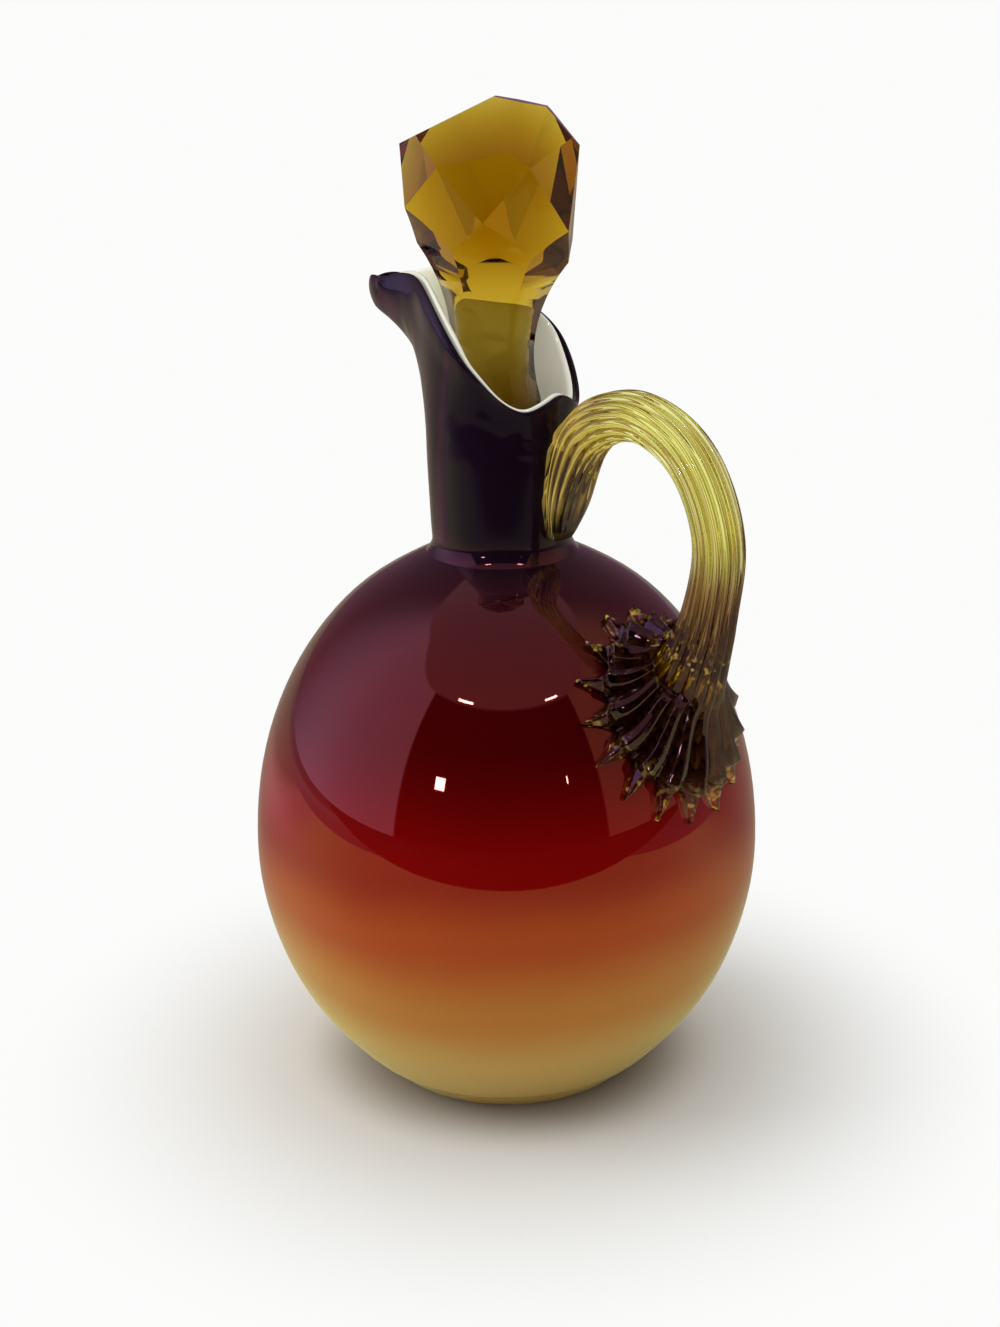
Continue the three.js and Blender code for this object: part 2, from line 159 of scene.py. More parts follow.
class LiningSettings(bpy.types.PropertyGroup):
    cream: colour("Cream", (0.93, 0.92, 0.80), "Opal glass in the light")
    shade: colour("Shade", (0.78, 0.80, 0.66), "Opal glass where it is thin over the casing")
    cloud_size: distance("Cloud size", 0.012, "Size of those thin places")
    cloud_low: share("Cloud low", 0.3, "Noise up to which the glass is cream")
    cloud_high: share("Cloud high", 0.75, "Noise from which it is thin")
    # Painted shade: the lining darkens deep in the neck, where little light reaches
    neck_colour_and_shade: colour("Neck colour", (0.20, 0.09, 0.05), "Opal glass inside the dark neck")
    neck_low: distance("Neck low", 0.108, "Height up to which it has that colour")
    neck_high: distance("Neck high", 0.121, "Height from which it is cream")
    # Painted light: the opal glass glows by emission, standing in for light that passes through
    # it
    painted_glow: share("Glow", 0.16, "Light that the opal glass lets through")
    gloss: share("Gloss", 0.12, "Roughness of its surface")
    ripple: distance("Ripple", 0.00003, "Depth of the ripples in its surface")
    ripple_size: distance("Ripple size", 0.006, "Size of those ripples")
    beak_reach: distance("Beak reach", 0.013, "Length at the beak over which it is drawn back")
    beak_drop: distance("Beak drop", 0.0024, "How far it is drawn back from the beak's end")


class HandleSettings(bpy.types.PropertyGroup):
    amber: colour("Amber", (1.0, 0.99, 0.085), "Colour of the glass for a given depth")
    depth: distance("Depth", 0.006, "Depth of glass at which the colour is full")
    gloss_tint: colour("Gloss tint", (1.0, 0.55, 0.80), "Tint of what the handle reflects")
    gloss: share("Gloss", 0.04, "Roughness of its surface")
    ripple: distance("Ripple", 0.00001, "Depth of the ripples that the pulled glass has")
    ripple_size: distance("Ripple size", 0.004, "Size of those ripples")
    # Painted shade: the rod is tinted dark where its root lies on the dark neck, standing in for
    # the neck seen through the glass
    root_shade: colour("Root colour", (0.40, 0.32, 0.26), "Glass over the dark neck")
    root_reach: distance("Root reach", 0.017, "Distance from the axis at which the root is dark")
    root_fade: distance("Root fade", 0.031, "Distance from the axis at which it is clear")
    # Painted shade: the rod's foot and the shell are tinted dark where they lie on the dark
    # casing
    shell_foot_shade: colour("Shell colour", (0.23, 0.125, 0.115), "Glass of the shell foot")
    shell_reach: distance("Shell reach", 0.017, "Reach of that darker glass")
    shell_fade: distance("Shell fade", 0.0315, "Where the rod is clear again")
    # The points get a paler tint than the painted shade of the shell, partly painted light where
    # they catch it
    point_colour: colour("Point colour", (0.95, 0.85, 0.66), "Glass of the shell's points")
    belly_clear: distance("Belly clear", 0.0575, "Reach of the points from the belly's middle")
    belly_near: distance("Belly near", 0.0555, "Distance up to which they have that colour")
    # Painted shade: the glass darkens in the grooves between the reeds
    groove_shade: colour("Groove colour", (0.30, 0.15, 0.04), "Glass in the grooves")
    groove_low: distance("Groove low", 0.00001, "Depth at which a groove begins to darken")
    groove_high: distance("Groove high", 0.00014, "Depth at which it has its full colour")
    # Painted glints: an emitted golden colour, broken up by noise, stands in for light caught at
    # the throat, in the points and on the seal's crests
    painted_gold: colour("Gold", (0.30, 0.20, 0.04), "Light caught in the points and the throat")
    streak: distance("Streak", 0.0012, "Size of those glints")
    streak_low: share("Streak low", 0.56, "Noise up to which there are none")
    streak_high: share("Streak high", 0.70, "Noise from which they are full")
    throat_start: distance("Throat start", 0.0105, "Distance at which the throat begins")
    throat_full: distance("Throat full", 0.0125, "Distance from which its glints are full")
    throat_fade: distance("Throat fade", 0.0130, "Distance at which they begin to fade")
    throat_end: distance("Throat end", 0.0155, "Distance at which they have gone")
    point_glint: share("Point gold", 0.9, "Strength of the glints in the points")
    crest_glint: share("Crest gold", 0.6, "Strength of the gold on the crests of the seal")
    # The seal's crests get their painted glints from this height
    seal_low: distance("Seal low", 0.099, "Height up to which the seal's crests are dark")
    seal_high: distance("Seal high", 0.109, "Height from which they are gold")
    points_from: distance("Points from", 0.0132, "Distance at which the shell's points begin")
    points_to: distance("Points to", 0.0185, "Distance of their tips")
    points_past: distance("Points past", 0.0222, "Distance past which nothing is a point")
    points_height: distance("Points height", 0.0045, "Height off the belly of the thickest")
    points_growth: distance("Points growth", 0.0007, "How far their flanks are widened")
    points_length: distance("Points length", 0.0014, "How much longer they are drawn")
    points_lift: distance("Points lift", 0.0008, "How far they arch off the belly")
    melt_reach: distance("Melt reach", 0.0015, "Gap at which the handle has melted to the casing")
    melt_depth: distance("Melt depth", 0.0006, "How far it is pressed in there")
    crease_reach: distance("Crease reach", 0.020, "Distance up to which ribs keep their edges")
    crease_from: angle("Crease from", 15.0, "Angle of an edge that is smoothed away")
    crease_to: angle("Crease to", 40.0, "Angle of an edge that stays sharp")


class StopperSettings(bpy.types.PropertyGroup):
    amber: colour("Amber", (0.844, 0.733, 0.055), "Colour of the glass for a given depth")
    depth: distance("Depth", 0.0037, "Depth of glass at which the colour is full")
    gloss_tint: colour("Gloss tint", (1.0, 0.80, 0.35), "Tint of what the stopper reflects")
    ripple: distance("Ripple", 0.00001, "Depth of the ripples in the polished faces")
    ripple_size: distance("Ripple size", 0.008, "Size of those ripples")
    # Painted shade: the shank darkens towards the mouth, where it sits in the dark neck
    shank_shade: colour("Shank colour", (0.40, 0.29, 0.18), "Glass of the shank in the mouth")
    shank_low: distance("Shank low", 0.117, "Height up to which it has that colour")
    shank_high: distance("Shank high", 0.137, "Height from which it is clear amber")
    plug_matt: share("Plug matt", 0.45, "Roughness of the ground plug")
    plug_low: distance("Plug low", 0.1114, "Height up to which the plug is so matt")
    plug_height: distance("Plug", 0.1119, "Height at which the polish begins")
    sliver: distance("Sliver", 0.0004, "Width up to which slivers on the shank are closed")
    facet_bevel: distance("Facet bevel", 0.00014, "Width of the worn edges of the facets")


class StageSettings(bpy.types.PropertyGroup):
    floor_radius: distance("Floor radius", 30.0, "Radius of the pale floor")
    paper_colour: colour("Paper colour", (0.97, 0.97, 0.965), "Colour of the floor")
    paper_shade: colour("Paper shade", (0.79, 0.81, 0.78), "Its colour in the light of the room")
    paper_matt: share("Paper matt", 0.9, "Roughness of its surface")
    grain: distance("Grain", 0.00005, "Depth of its grain")
    grain_size: distance("Grain size", 0.01, "Size of its grain")
    # Painted shadow: the paper is darker close round the foot
    contact_shade: colour("Contact shade", (0.33, 0.30, 0.24), "Paper in the shade of the foot")
    contact_from: distance("Contact from", 0.0215, "Distance up to which it has that colour")
    contact_reach: distance("Contact reach", 0.040, "Distance from which it is lighter")
    shade_from: distance("Shade from", 0.038, "Distance at which the shade begins to fade")
    shade_reach: distance("Shade reach", 0.095, "Distance at which it has gone")
    paper_gloss: colour("Paper gloss", (0.95, 1.0, 0.47), "Colour of the paper in glass")
    paper_behind: colour("Paper behind", (0.34, 0.27, 0.20), "Its colour there behind the cruet")
    behind_from: distance("Behind from", 0.05, "Distance before the axis at which it starts")
    behind_full: distance("Behind full", 0.10, "Distance behind the axis at which it is full")
    paper_beside: colour("Paper beside", (0.90, 0.48, 0.48), "Paper further left, in the glass")
    beside_from: distance("Beside from", 0.10, "Distance to the left at which that starts")
    beside_full: distance("Beside full", 0.25, "Distance to the left at which it is full")
    beside_near: distance("Beside near", 0.12, "Distance back up to which it is full")
    beside_back: distance("Beside back", 0.30, "Distance back at which it has gone")
    paper_edge: distance("Paper edge", 0.004, "Half of the width of the paper's soft edges")
    paper_front: distance("Paper front", 0.285, "Where the paper ends before the cruet")
    paper_right: distance("Paper right", 0.355, "Where it ends on the right")
    paper_left: distance("Paper left", 0.580, "Where it ends on the left, level with the cruet")
    paper_slant: number("Paper slant", 0.63, "How far its left edge leans outwards")
    table_gloss: colour("Table gloss", (0.30, 0.24, 0.30), "Colour of the table beside it")
    front_gloss: colour("Front gloss", (0.01, 0.01, 0.012), "Colour of the dark before it")
    ceiling: colour("Ceiling", (0.67, 0.46, 0.52), "Light of the ceiling in glass")
    right_wall: colour("Right wall", (0.83, 0.57, 0.41), "Light of the right wall in glass")
    far_wall: colour("Far wall", (0.22, 0.12, 0.165), "Light of the far wall in glass")
    near_wall: colour("Near wall", (0.004, 0.004, 0.004), "Light of the dark front in glass")
    window: colour("Window", (0.61, 0.52, 0.85), "Light of the left window in glass")
    window_strength: number("Window strength", 2.0, "Strength of that window")
    clear_light: share("Clear light", 0.95, "Strength of the far room through amber glass")
    clear_front: share("Clear front", 0.32, "Strength of the near room through amber glass")
    clear_left: share("Clear left", 0.30, "How much less of it comes from the left")
    spot_light: number("Spot light", 70.0, "Strength of the small lights")
    low_light: number("Low light", 0.35, "Light from the horizon")
    high_light: number("High light", 1.12, "Light from straight above")
    box_light: FloatProperty(
        name="Box light", default=13.0, min=0.0, unit="POWER",
        description="Power of the soft box above on the left")


class CruetSettings(bpy.types.PropertyGroup):
    casing: PointerProperty(type=CasingSettings, name="Casing", description="The outer glass")
    lining: PointerProperty(type=LiningSettings, name="Lining", description="The opal glass")
    handle: PointerProperty(type=HandleSettings, name="Handle", description="The handle")
    stopper: PointerProperty(type=StopperSettings, name="Stopper", description="The stopper")
    stage: PointerProperty(type=StageSettings, name="Stage", description="Floor, light, camera")


def settings():
    return bpy.context.scene.cruet


# Mesh tools

def mesh_of_part(node):
    """A part's triangles as one connected bmesh."""
    mesh = bmesh.new()
    mesh.from_mesh(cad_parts[node].data)
    bmesh.ops.remove_doubles(mesh, verts=mesh.verts[:], dist=MERGE_DISTANCE)
    return mesh


def join_into_quads(mesh):
    """Joins the triangles of a skinned tube back into its quads."""
    bmesh.ops.join_triangles(
        mesh, faces=mesh.faces[:], cmp_seam=False, cmp_sharp=False, cmp_uvs=False,
        cmp_vcols=False, cmp_materials=False, angle_face_threshold=math.pi,
        angle_shape_threshold=math.pi)


def piece_from(mesh, name, material, smooth=True):
    """Turns a bmesh into a finished object of that name."""
    data = bpy.data.meshes.new(name)
    mesh.to_mesh(data)
    mesh.free()
    for polygon in data.polygons:
        polygon.use_smooth = smooth
    data.materials.append(material)
    piece = bpy.data.objects.new(name, data)
    bpy.context.scene.collection.objects.link(piece)
    return piece


def crease_edges(mesh, sharpness_of):
    """Gives each edge the crease that sharpness_of says."""
    layer = mesh.edges.layers.float.get("crease_edge")
    if layer is None:
        layer = mesh.edges.layers.float.new("crease_edge")
    for edge in mesh.edges:
        if len(edge.link_faces) == 2:
            edge[layer] = sharpness_of(edge)


def corner_points(mesh, bend):
    """The indices of the points that touch an edge bent by more than that."""
    mesh.verts.ensure_lookup_table()
    mesh.verts.index_update()
    return {vert.index for vert in mesh.verts
            if any(edge.calc_face_angle(0.0) > bend for edge in vert.link_edges)}


def beak_tip(mesh):
    """The place of the foremost point of the lip."""
    lip = [vert.co for vert in mesh.verts if vert.co.z > LIP_HEIGHT]
    return min(lip, key=lambda place: place.x).copy()


def clamp(value):
    return min(max(value, 0.0), 1.0)


def ease(value):
    """0 up to 0 and 1 from 1, and smooth between them."""
    value = clamp(value)
    return value * value * (3.0 - 2.0 * value)


def smooth_through(piece, rounded):
    """Subdivides a piece, and fits its cage so that the smooth surface still passes through the
    points that the cage started from, all but the rounded ones."""
    modifier = piece.modifiers.new("Smooth surface", "SUBSURF")
    modifier.levels = SMOOTH_LEVELS
    modifier.render_levels = SMOOTH_LEVELS
    modifier.uv_smooth = "NONE"
    wanted = [vert.co.copy() for vert in piece.data.vertices]
    for _ in range(FITTING_ROUNDS):
        graph = bpy.context.evaluated_depsgraph_get()
        smooth = piece.evaluated_get(graph)
        missed = [goal - smooth.data.vertices[index].co for index, goal in enumerate(wanted)]
        for vert, miss in zip(piece.data.vertices, missed):
            if vert.index not in rounded:
                vert.co += miss
        piece.data.update()


def surface_of(piece):
    return BVHTree.FromObject(piece, bpy.context.evaluated_depsgraph_get())


def melt_onto(mesh, surface, reach, depth):
    """Presses the underside of a bmesh into a surface, where it lies within reach of it."""
    mesh.normal_update()
    for vert in mesh.verts:
        place, normal, _, _ = surface.find_nearest(vert.co, reach)
        if place is not None and vert.normal.dot(normal) < 0.0:
            vert.co = place - normal * depth


def measure_grooves(mesh):
    """Stores how deep each point lies between the points next to it."""
    groove = mesh.verts.layers.float.new(GROOVE)
    mesh.normal_update()
    for vert in mesh.verts:
        around = sum((edge.other_vert(vert).co for edge in vert.link_edges), Vector())
        vert[groove] = (around / len(vert.link_edges) - vert.co).dot(vert.normal)


# Material tools

def new_material(name):
    material = bpy.data.materials.new(name)
    material.use_nodes = True
    material.node_tree.nodes.clear()
    return material, material.node_tree


def connect(tree, socket, value):
    """Links a socket to an input, or sets the input to a number, a point or a colour."""
    if isinstance(value, bpy.types.NodeSocket):
        tree.links.new(value, socket)
    elif socket.type == "RGBA":
        socket.default_value = (*value, 1.0)
    else:
        socket.default_value = value


def add_node(tree, kind, **inputs):
    """Adds a node. An input is named with underscores for spaces, and may be a socket."""
    node = tree.nodes.new(kind)
    for name, value in inputs.items():
        connect(tree, node.inputs[name.replace("_", " ")], value)
    return node


def calculate(tree, operation, first, second=None):
    node = tree.nodes.new("ShaderNodeMath")
    node.operation = operation
    connect(tree, node.inputs[0], first)
    if second is not None:
        connect(tree, node.inputs[1], second)
    return node.outputs[0]


def multiply(tree, first, second):
    return calculate(tree, "MULTIPLY", first, second)


def rest_of(tree, value):
    """What is left of 1."""
    return calculate(tree, "SUBTRACT", 1.0, value)


def slide(tree, value, low, high):
    """From low to high as the value goes from 0 to 1."""
    return calculate(tree, "ADD", low, multiply(tree, value, high - low))


def blend_between(tree, value, low, high):
    """0 up to low and 1 from high, and smooth between them."""
    node = add_node(tree, "ShaderNodeMapRange", Value=value, From_Min=low, From_Max=high)
    node.interpolation_type = "SMOOTHSTEP"
    return node.outputs["Result"]


def band(tree, value, start, full, fade, end):
    """1 between full and fade, 0 outside start and end, and smooth between."""
    return multiply(
        tree, blend_between(tree, value, start, full), blend_between(tree, value, end, fade))


def mix_colours(tree, factor, first, second, kind="MIX"):
    node = tree.nodes.new("ShaderNodeMix")
    node.data_type = "RGBA"
    node.blend_type = kind
    connect(tree, node.inputs["Factor"], factor)
    connect(tree, node.inputs[MIX_FIRST], first)
    connect(tree, node.inputs[MIX_SECOND], second)
    return node.outputs[MIX_RESULT]


def split(tree, vector):
    """The three parts of a vector."""
    node = add_node(tree, "ShaderNodeSeparateXYZ", Vector=vector)
    return tuple(node.outputs[axis] for axis in "XYZ")


def object_place(tree):
    """The Object coordinates and their three parts."""
    place = tree.nodes.new("ShaderNodeTexCoord").outputs["Object"]
    return place, *split(tree, place)


def distance_from(tree, place, point):
    node = add_node(tree, "ShaderNodeVectorMath", Vector=place)
    node.operation = "DISTANCE"
    connect(tree, node.inputs[1], point)
    return node.outputs["Value"]


def attribute(tree, name):
    node = tree.nodes.new("ShaderNodeAttribute")
    node.attribute_name = name
    return node.outputs["Fac"]


def noise(tree, place, size, detail=2.0):
    """Noise whose lumps are about size across."""
    node = add_node(tree, "ShaderNodeTexNoise", Vector=place, Scale=1.0 / size, Detail=detail)
    return node.outputs["Fac"]


def ripples(tree, place, look, detail):
    """A bumpy normal with ripples of the size and depth that the look has."""
    node = add_node(
        tree, "ShaderNodeBump", Height=noise(tree, place, look.ripple_size, detail),
        Distance=look.ripple, Strength=1.0)
    return node.outputs["Normal"]


def shade_by_height(tree, height, stops):
    """A colour for each height, blended between the stops, which are (height, colour)."""
    top = stops[-1][0]
    ramp = add_node(tree, "ShaderNodeValToRGB", Fac=calculate(tree, "DIVIDE", height, top))
    elements = ramp.color_ramp.elements
    ramp.color_ramp.interpolation = "EASE"
    while len(elements) < len(stops):
        elements.new(0.5)
    for element, (stop, tint) in zip(elements, stops):
        element.position = stop / top
        element.color = (*tint, 1.0)
    return ramp.outputs["Color"]


def finish_material(tree, surface, volume=None):
    output = tree.nodes.new("ShaderNodeOutputMaterial")
    tree.links.new(surface, output.inputs["Surface"])
    if volume is not None:
        tree.links.new(volume, output.inputs["Volume"])


# Finishes

def casing_glass():
    """Glossy glass shaded by heat: black violet at the neck, ruby, red, orange and straw, with
    painted shade under the shell foot.
    """
    look = settings().casing
    material, tree = new_material("heat_shaded_glass")
    place, _, _, height = object_place(tree)
    wander = calculate(tree, "SUBTRACT", noise(tree, place, look.drift_size), 0.5)
    stops = (
        (look.straw_height, look.straw_colour),
        (look.amber_height, look.amber_colour),
        (look.orange_height, look.orange_colour),
        (look.red_height, look.red_colour),
        (look.ruby_height, look.ruby_colour),
        (look.neck_height, look.neck_colour_and_shade),
    )
    tint = shade_by_height(
        tree, calculate(tree, "ADD", height, multiply(tree, wander, look.drift)), stops)
    # Painted shade under the shell foot: the casing turns to the neck's dark colour there
    under_shell = blend_between(
        tree, distance_from(tree, place, SHELL_MIDDLE), look.shell_fade, look.shell_shade)
    tint = mix_colours(tree, under_shell, tint, look.neck_colour_and_shade)
    neck = blend_between(tree, height, look.gloss_height, look.haze_height)
    ground = blend_between(tree, height, look.ground_height, 0.0)
    roughness = calculate(
        tree, "ADD", slide(tree, neck, look.gloss, look.neck_haze),
        multiply(tree, ground, look.ground_matt))
    shader = add_node(
        tree, "ShaderNodeBsdfPrincipled", Base_Color=tint, Roughness=roughness, IOR=CASING_IOR,
        Specular_Tint=mix_colours(tree, neck, look.gloss_tint, look.neck_gloss),
        Normal=ripples(tree, place, look, detail=0.0))
    finish_material(tree, shader.outputs["BSDF"])
    return material


def lining_glass():
    """Opaque cream opal glass, a little greener and darker where it is thin, with painted shade
    deep in the neck and a painted glow.
    """
    look = settings().lining
    material, tree = new_material("cream_opal_glass")
    place, _, _, height = object_place(tree)
    cloud = blend_between(
        tree, noise(tree, place, look.cloud_size), look.cloud_low, look.cloud_high)
    tint = mix_colours(tree, cloud, look.cream, look.shade)
    # Painted shade deep in the neck, below the cream of the mouth
    tint = mix_colours(
        tree, blend_between(tree, height, look.neck_low, look.neck_high), look.neck_colour_and_shade, tint)
    shader = add_node(
        tree, "ShaderNodeBsdfPrincipled", Base_Color=tint, Roughness=look.gloss, IOR=LINING_IOR,
        # Painted light: the emission makes the opal glass glow
        Emission_Color=tint, Emission_Strength=look.painted_glow,
        Normal=ripples(tree, place, look, detail=2.0))
    finish_material(tree, shader.outputs["BSDF"])
    return material


def amber_glass(tree, look, ior, **inputs):
    """Clear glass that takes its colour from its depth."""
    shader = add_node(
        tree, "ShaderNodeBsdfPrincipled", IOR=ior, Transmission_Weight=1.0,
        Specular_Tint=look.gloss_tint, **inputs)
    volume = add_node(
        tree, "ShaderNodeVolumeAbsorption", Color=look.amber, Density=1.0 / look.depth)
    finish_material(tree, shader.outputs["BSDF"], volume.outputs["Volume"])


def handle_glass():
    """Amber glass with painted shade at the seal, the shell foot and the grooves, and painted
    golden glints at its throat, points and the seal's crests.
    """
    look = settings().handle
    material, tree = new_material("amber_handle_glass")
    place, right, back, height = object_place(tree)
    from_axis = calculate(tree, "SQRT", calculate(
        tree, "ADD", multiply(tree, right, right), multiply(tree, back, back)))
    from_root = blend_between(tree, from_axis, look.root_reach, look.root_fade)
    from_foot = blend_between(
        tree, distance_from(tree, place, ROD_FOOT), look.shell_reach, look.shell_fade)
    on_belly = blend_between(
        tree, distance_from(tree, place, BELLY_MIDDLE), look.belly_clear, look.belly_near)
    from_shell = distance_from(tree, place, SHELL_MIDDLE)
    points = multiply(
        tree, on_belly, blend_between(tree, from_shell, look.points_from, look.points_to))
    hollow = attribute(tree, GROOVE)
    groove = blend_between(tree, hollow, look.groove_low, look.groove_high)
    # Painted shade at the root by the neck and round the shell foot; the points are spared most
    # of it
    tint = mix_colours(tree, from_root, look.root_shade, WHITE)
    tint = mix_colours(tree, from_foot, look.shell_foot_shade, tint)
    tint = mix_colours(tree, points, tint, look.point_colour)
    # Painted shade in the grooves, multiplied over the tint
    tint = mix_colours(
        tree, 1.0, tint, mix_colours(tree, groove, WHITE, look.groove_shade), "MULTIPLY")
    # Painted glints: emitted where the noise, the throat, the points and the seal's crests allow
    streaks = blend_between(
        tree, noise(tree, place, look.streak, detail=1.0), look.streak_low, look.streak_high)
    throat = multiply(tree, rest_of(tree, on_belly), band(
        tree, from_shell, look.throat_start, look.throat_full, look.throat_fade,
        look.throat_end))
    glints = multiply(tree, streaks, calculate(
        tree, "MAXIMUM", throat, multiply(tree, points, look.point_glint)))
    crests = multiply(
        tree, blend_between(tree, hollow, -look.groove_low, -look.groove_high),
        blend_between(tree, height, look.seal_low, look.seal_high))
    crests = multiply(tree, crests, rest_of(tree, from_root))
    painted_gold = calculate(tree, "MAXIMUM", glints, multiply(tree, crests, look.crest_glint))
    amber_glass(
        tree, look, HANDLE_IOR, Base_Color=tint, Roughness=look.gloss,
        Emission_Color=mix_colours(tree, painted_gold, BLACK, look.painted_gold), Emission_Strength=1.0,
        Normal=ripples(tree, place, look, detail=1.0))
    return material


def stopper_glass():
    """Amber glass with painted shade on the shank in the mouth, polished on the head and ground
    matt on the plug.
    """
    look = settings().stopper
    material, tree = new_material("amber_cut_glass")
    place, _, _, height = object_place(tree)
    matt = blend_between(tree, height, look.plug_height, look.plug_low)
    # Painted shade on the shank low in the mouth
    above_mouth = blend_between(tree, height, look.shank_low, look.shank_high)
    amber_glass(
        tree, look, STOPPER_IOR,
        Base_Color=mix_colours(tree, above_mouth, look.shank_shade, WHITE),
        Roughness=multiply(tree, matt, look.plug_matt),
        Normal=ripples(tree, place, look, detail=0.0))
    return material


# Operators

class CRUET_OT_stage(bpy.types.Operator):
    """Sets up the camera, the pale floor, the soft box and the room that the glass reflects"""
    bl_idname = "cruet.stage"
    bl_label = "Stage"

    # The camera, turned round the cruet's axis from -Y, with its focal length in frame heights
    TURN = math.radians(42.0)
    AXIS_DISTANCE = 0.33445
    EYE_HEIGHT = 0.18539
    PITCH = math.radians(18.29)
    ROLL = math.radians(-0.868)
    YAW = math.radians(-0.124)
    FOCAL_SHARE = 2000.0 / 1327.0
    SENSOR = 36.0
    CLIP_START = 0.01

    FLOOR_SEGMENTS = 64

    # The soft box, whose place is turned with the camera
    BOX_PLACE = (-1.5, 0.0, 0.8)
    BOX_AIM = (0.0, 0.0, 0.06)
    BOX_SIZE = (1.2, 0.9)

    # The room in glass: turns to the right of the camera's side and rises, in radians
    WINDOW_EDGE = -0.89
    WINDOW_FADE = (-2.5, -1.6)
    WALL_EDGE = 0.80
    WALL_FADE = (1.6, 2.4)
    CORNICE = 0.85
    CORNICE_BACK = 1.05
    CORNICE_TURN = (0.9, 1.7)
    SOFT_EDGE = 0.015

    # The room through amber glass: how far back and right its light changes, on a unit sphere
    CLEAR_BACK = (-0.7, 0.6)
    CLEAR_LEFT = (-0.35, -0.75)

    # Small lights that the glass reflects: turn, rise and their half sizes, in degrees
    SPOTS = (
        (-32.0, 20.0, 2.6, 2.2),
        (-28.0, 50.0, 6.0, 0.5),
        (34.0, 50.0, 5.0, 0.4),
        (30.0, 21.0, 0.3, 1.3),
    )
    SPOT_CORE = 0.8

    def execute(self, context):
        look = settings().stage
        self.make_camera(context.scene)
        self.make_floor(look)
        self.make_soft_box(context.scene, look)
        self.make_room(context.scene, look)
        context.scene.view_settings.view_transform = "Standard"
        return {"FINISHED"}

    def make_camera(self, scene):
        data = bpy.data.cameras.new("camera")
        data.sensor_fit = "VERTICAL"
        data.sensor_height = self.SENSOR
        data.lens = self.FOCAL_SHARE * self.SENSOR
        data.clip_start = self.CLIP_START
        camera = bpy.data.objects.new("camera", data)
        scene.collection.objects.link(camera)
        turn = Matrix.Rotation(self.TURN, 4, "Z")
        place = turn @ Matrix.Translation((0.0, -self.AXIS_DISTANCE, self.EYE_HEIGHT))
        aim = (Matrix.Rotation(-self.YAW, 4, "Z")
               @ Matrix.Rotation(math.pi / 2 - self.PITCH, 4, "X")
               @ Matrix.Rotation(self.ROLL, 4, "Z"))
        camera.matrix_world = place @ aim
        scene.camera = camera

    def make_floor(self, look):
        mesh = bmesh.new()
        bmesh.ops.create_circle(
            mesh, cap_ends=True, radius=look.floor_radius, segments=self.FLOOR_SEGMENTS)
        floor = piece_from(mesh, "floor", self.paper(look), smooth=False)

    def turned_parts(self, tree, vector):
        """How far a place or direction lies to the right, back and up, from the camera's side."""
        turned = add_node(tree, "ShaderNodeVectorRotate", Vector=vector, Angle=-self.TURN)
        return split(tree, turned.outputs["Vector"])

    def paper(self, look):
        """White paper that keeps the cruet's shade, with a painted shadow round the foot, and is
        plainly white further out.
        """
        material, tree = new_material("white_paper")
        place, _, _, _ = object_place(tree)
        ray = tree.nodes.new("ShaderNodeLightPath")
        reach = distance_from(tree, place, ORIGIN)
        # Painted shadow round the foot, fading into the paper's own colour
        shade = mix_colours(
            tree, blend_between(tree, reach, look.contact_from, look.contact_reach),
            look.contact_shade, look.paper_shade)
        mirrored = multiply(
            tree, ray.outputs["Is Glossy Ray"], rest_of(tree, ray.outputs["Is Transmission Ray"]))
        bumpy = add_node(
            tree, "ShaderNodeBump", Height=noise(tree, place, look.grain_size),
            Distance=look.grain, Strength=1.0)
        shader = add_node(
            tree, "ShaderNodeBsdfPrincipled", Roughness=look.paper_matt,
            Base_Color=mix_colours(
                tree, mirrored, shade, self.paper_in_glass(tree, look, place)),
            Normal=bumpy.outputs["Normal"])
        white = add_node(tree, "ShaderNodeEmission", Color=look.paper_colour, Strength=1.0)
        far = multiply(
            tree, ray.outputs["Is Camera Ray"],
            blend_between(tree, reach, look.shade_from, look.shade_reach))
        blend = tree.nodes.new("ShaderNodeMixShader")
        parts = (far, shader.outputs["BSDF"], white.outputs["Emission"])
        for socket, part in zip(blend.inputs, parts):
            connect(tree, socket, part)
        finish_material(tree, blend.outputs["Shader"])
        return material

    def paper_in_glass(self, tree, look, place):
        """The paper as the glass mirrors it, dimmer behind the cruet, with the table round it."""
        right, back, _ = self.turned_parts(tree, place)
        edge = look.paper_edge
        past_front = blend_between(tree, back, edge - look.paper_front, -edge - look.paper_front)
        past_right = blend_between(tree, right, look.paper_right - edge, look.paper_right + edge)
        slant = calculate(tree, "ADD", right, multiply(tree, back, look.paper_slant))
        past_left = blend_between(tree, slant, edge - look.paper_left, -edge - look.paper_left)
        beside = multiply(
            tree, blend_between(tree, right, -look.beside_from, -look.beside_full),
            blend_between(tree, back, look.beside_back, look.beside_near))
        behind = mix_colours(tree, beside, look.paper_behind, look.paper_beside)
        tint = mix_colours(
            tree, blend_between(tree, back, -look.behind_from, look.behind_full),
            look.paper_gloss, behind)
        past_side = calculate(tree, "MAXIMUM", past_left, past_right)
        tint = mix_colours(tree, past_side, tint, look.table_gloss)
        return mix_colours(tree, past_front, tint, look.front_gloss)

